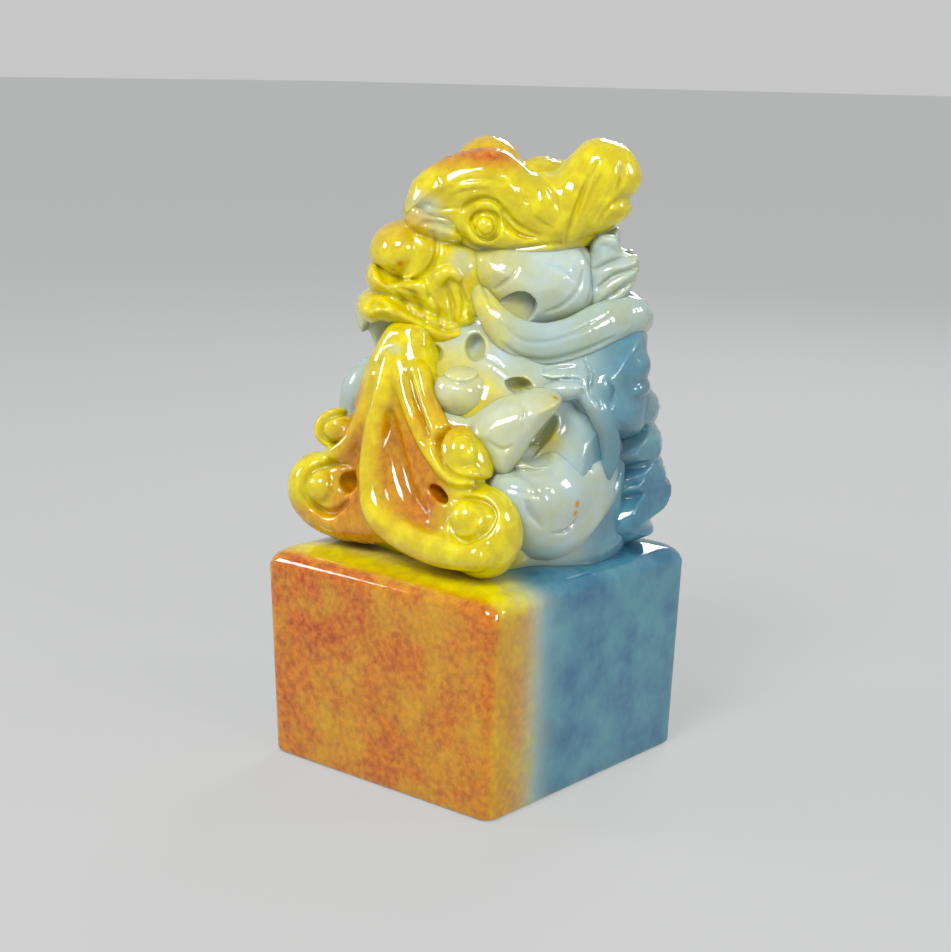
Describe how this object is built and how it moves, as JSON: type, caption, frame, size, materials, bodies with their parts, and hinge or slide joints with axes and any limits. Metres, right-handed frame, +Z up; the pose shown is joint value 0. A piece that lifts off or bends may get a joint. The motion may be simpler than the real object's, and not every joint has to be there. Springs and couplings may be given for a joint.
{
  "type": "carved jade seal stamp",
  "caption": "Square jade desk seal with a rounded block and a guardian beast, pearl and curled plume carved on top.",
  "frame": {"origin": "middle of the flat printing face, which lies on Z = 0", "axes": "+Z up from the printing face through the beast, -Y out of the side with the plume, +X out of the side with the near haunch; the beast looks along the block's diagonal towards the corner of -X and -Y"},
  "size_m": [0.0248, 0.0252, 0.05],
  "materials": {
    "jade": "polished"
  },
  "bodies": {
    "root": {"back_lobe_1": "jade", "back_lobe_2": "jade", "back_lobe_3": "jade", "back_lobe_4": "jade", "beard": "jade", "chest": "jade", "far_brow": "jade", "far_cheek": "jade", "far_eye": "jade", "far_foreleg": "jade", "far_forepaw": "jade", "far_haunch": "jade", "far_hind_foot": "jade", "far_horn": "jade", "far_mane_fin": "jade", "far_whisker": "jade", "lower_jaw": "jade", "mane": "jade", "near_brow": "jade", "near_cheek": "jade", "near_eye": "jade", "near_foreleg": "jade", "near_forepaw": "jade", "near_haunch": "jade", "near_hind_foot": "jade", "near_horn": "jade", "near_mane_fin": "jade", "near_whisker": "jade", "neck": "jade", "nose": "jade", "pearl": "jade", "plume_scroll_high_left": "jade", "plume_scroll_high_right": "jade", "plume_scroll_low_left": "jade", "plume_scroll_low_right": "jade", "plume_web": "jade", "seal_block": "jade", "skull": "jade", "torso": "jade", "upper_lip": "jade"}
  },
  "joints": []
}
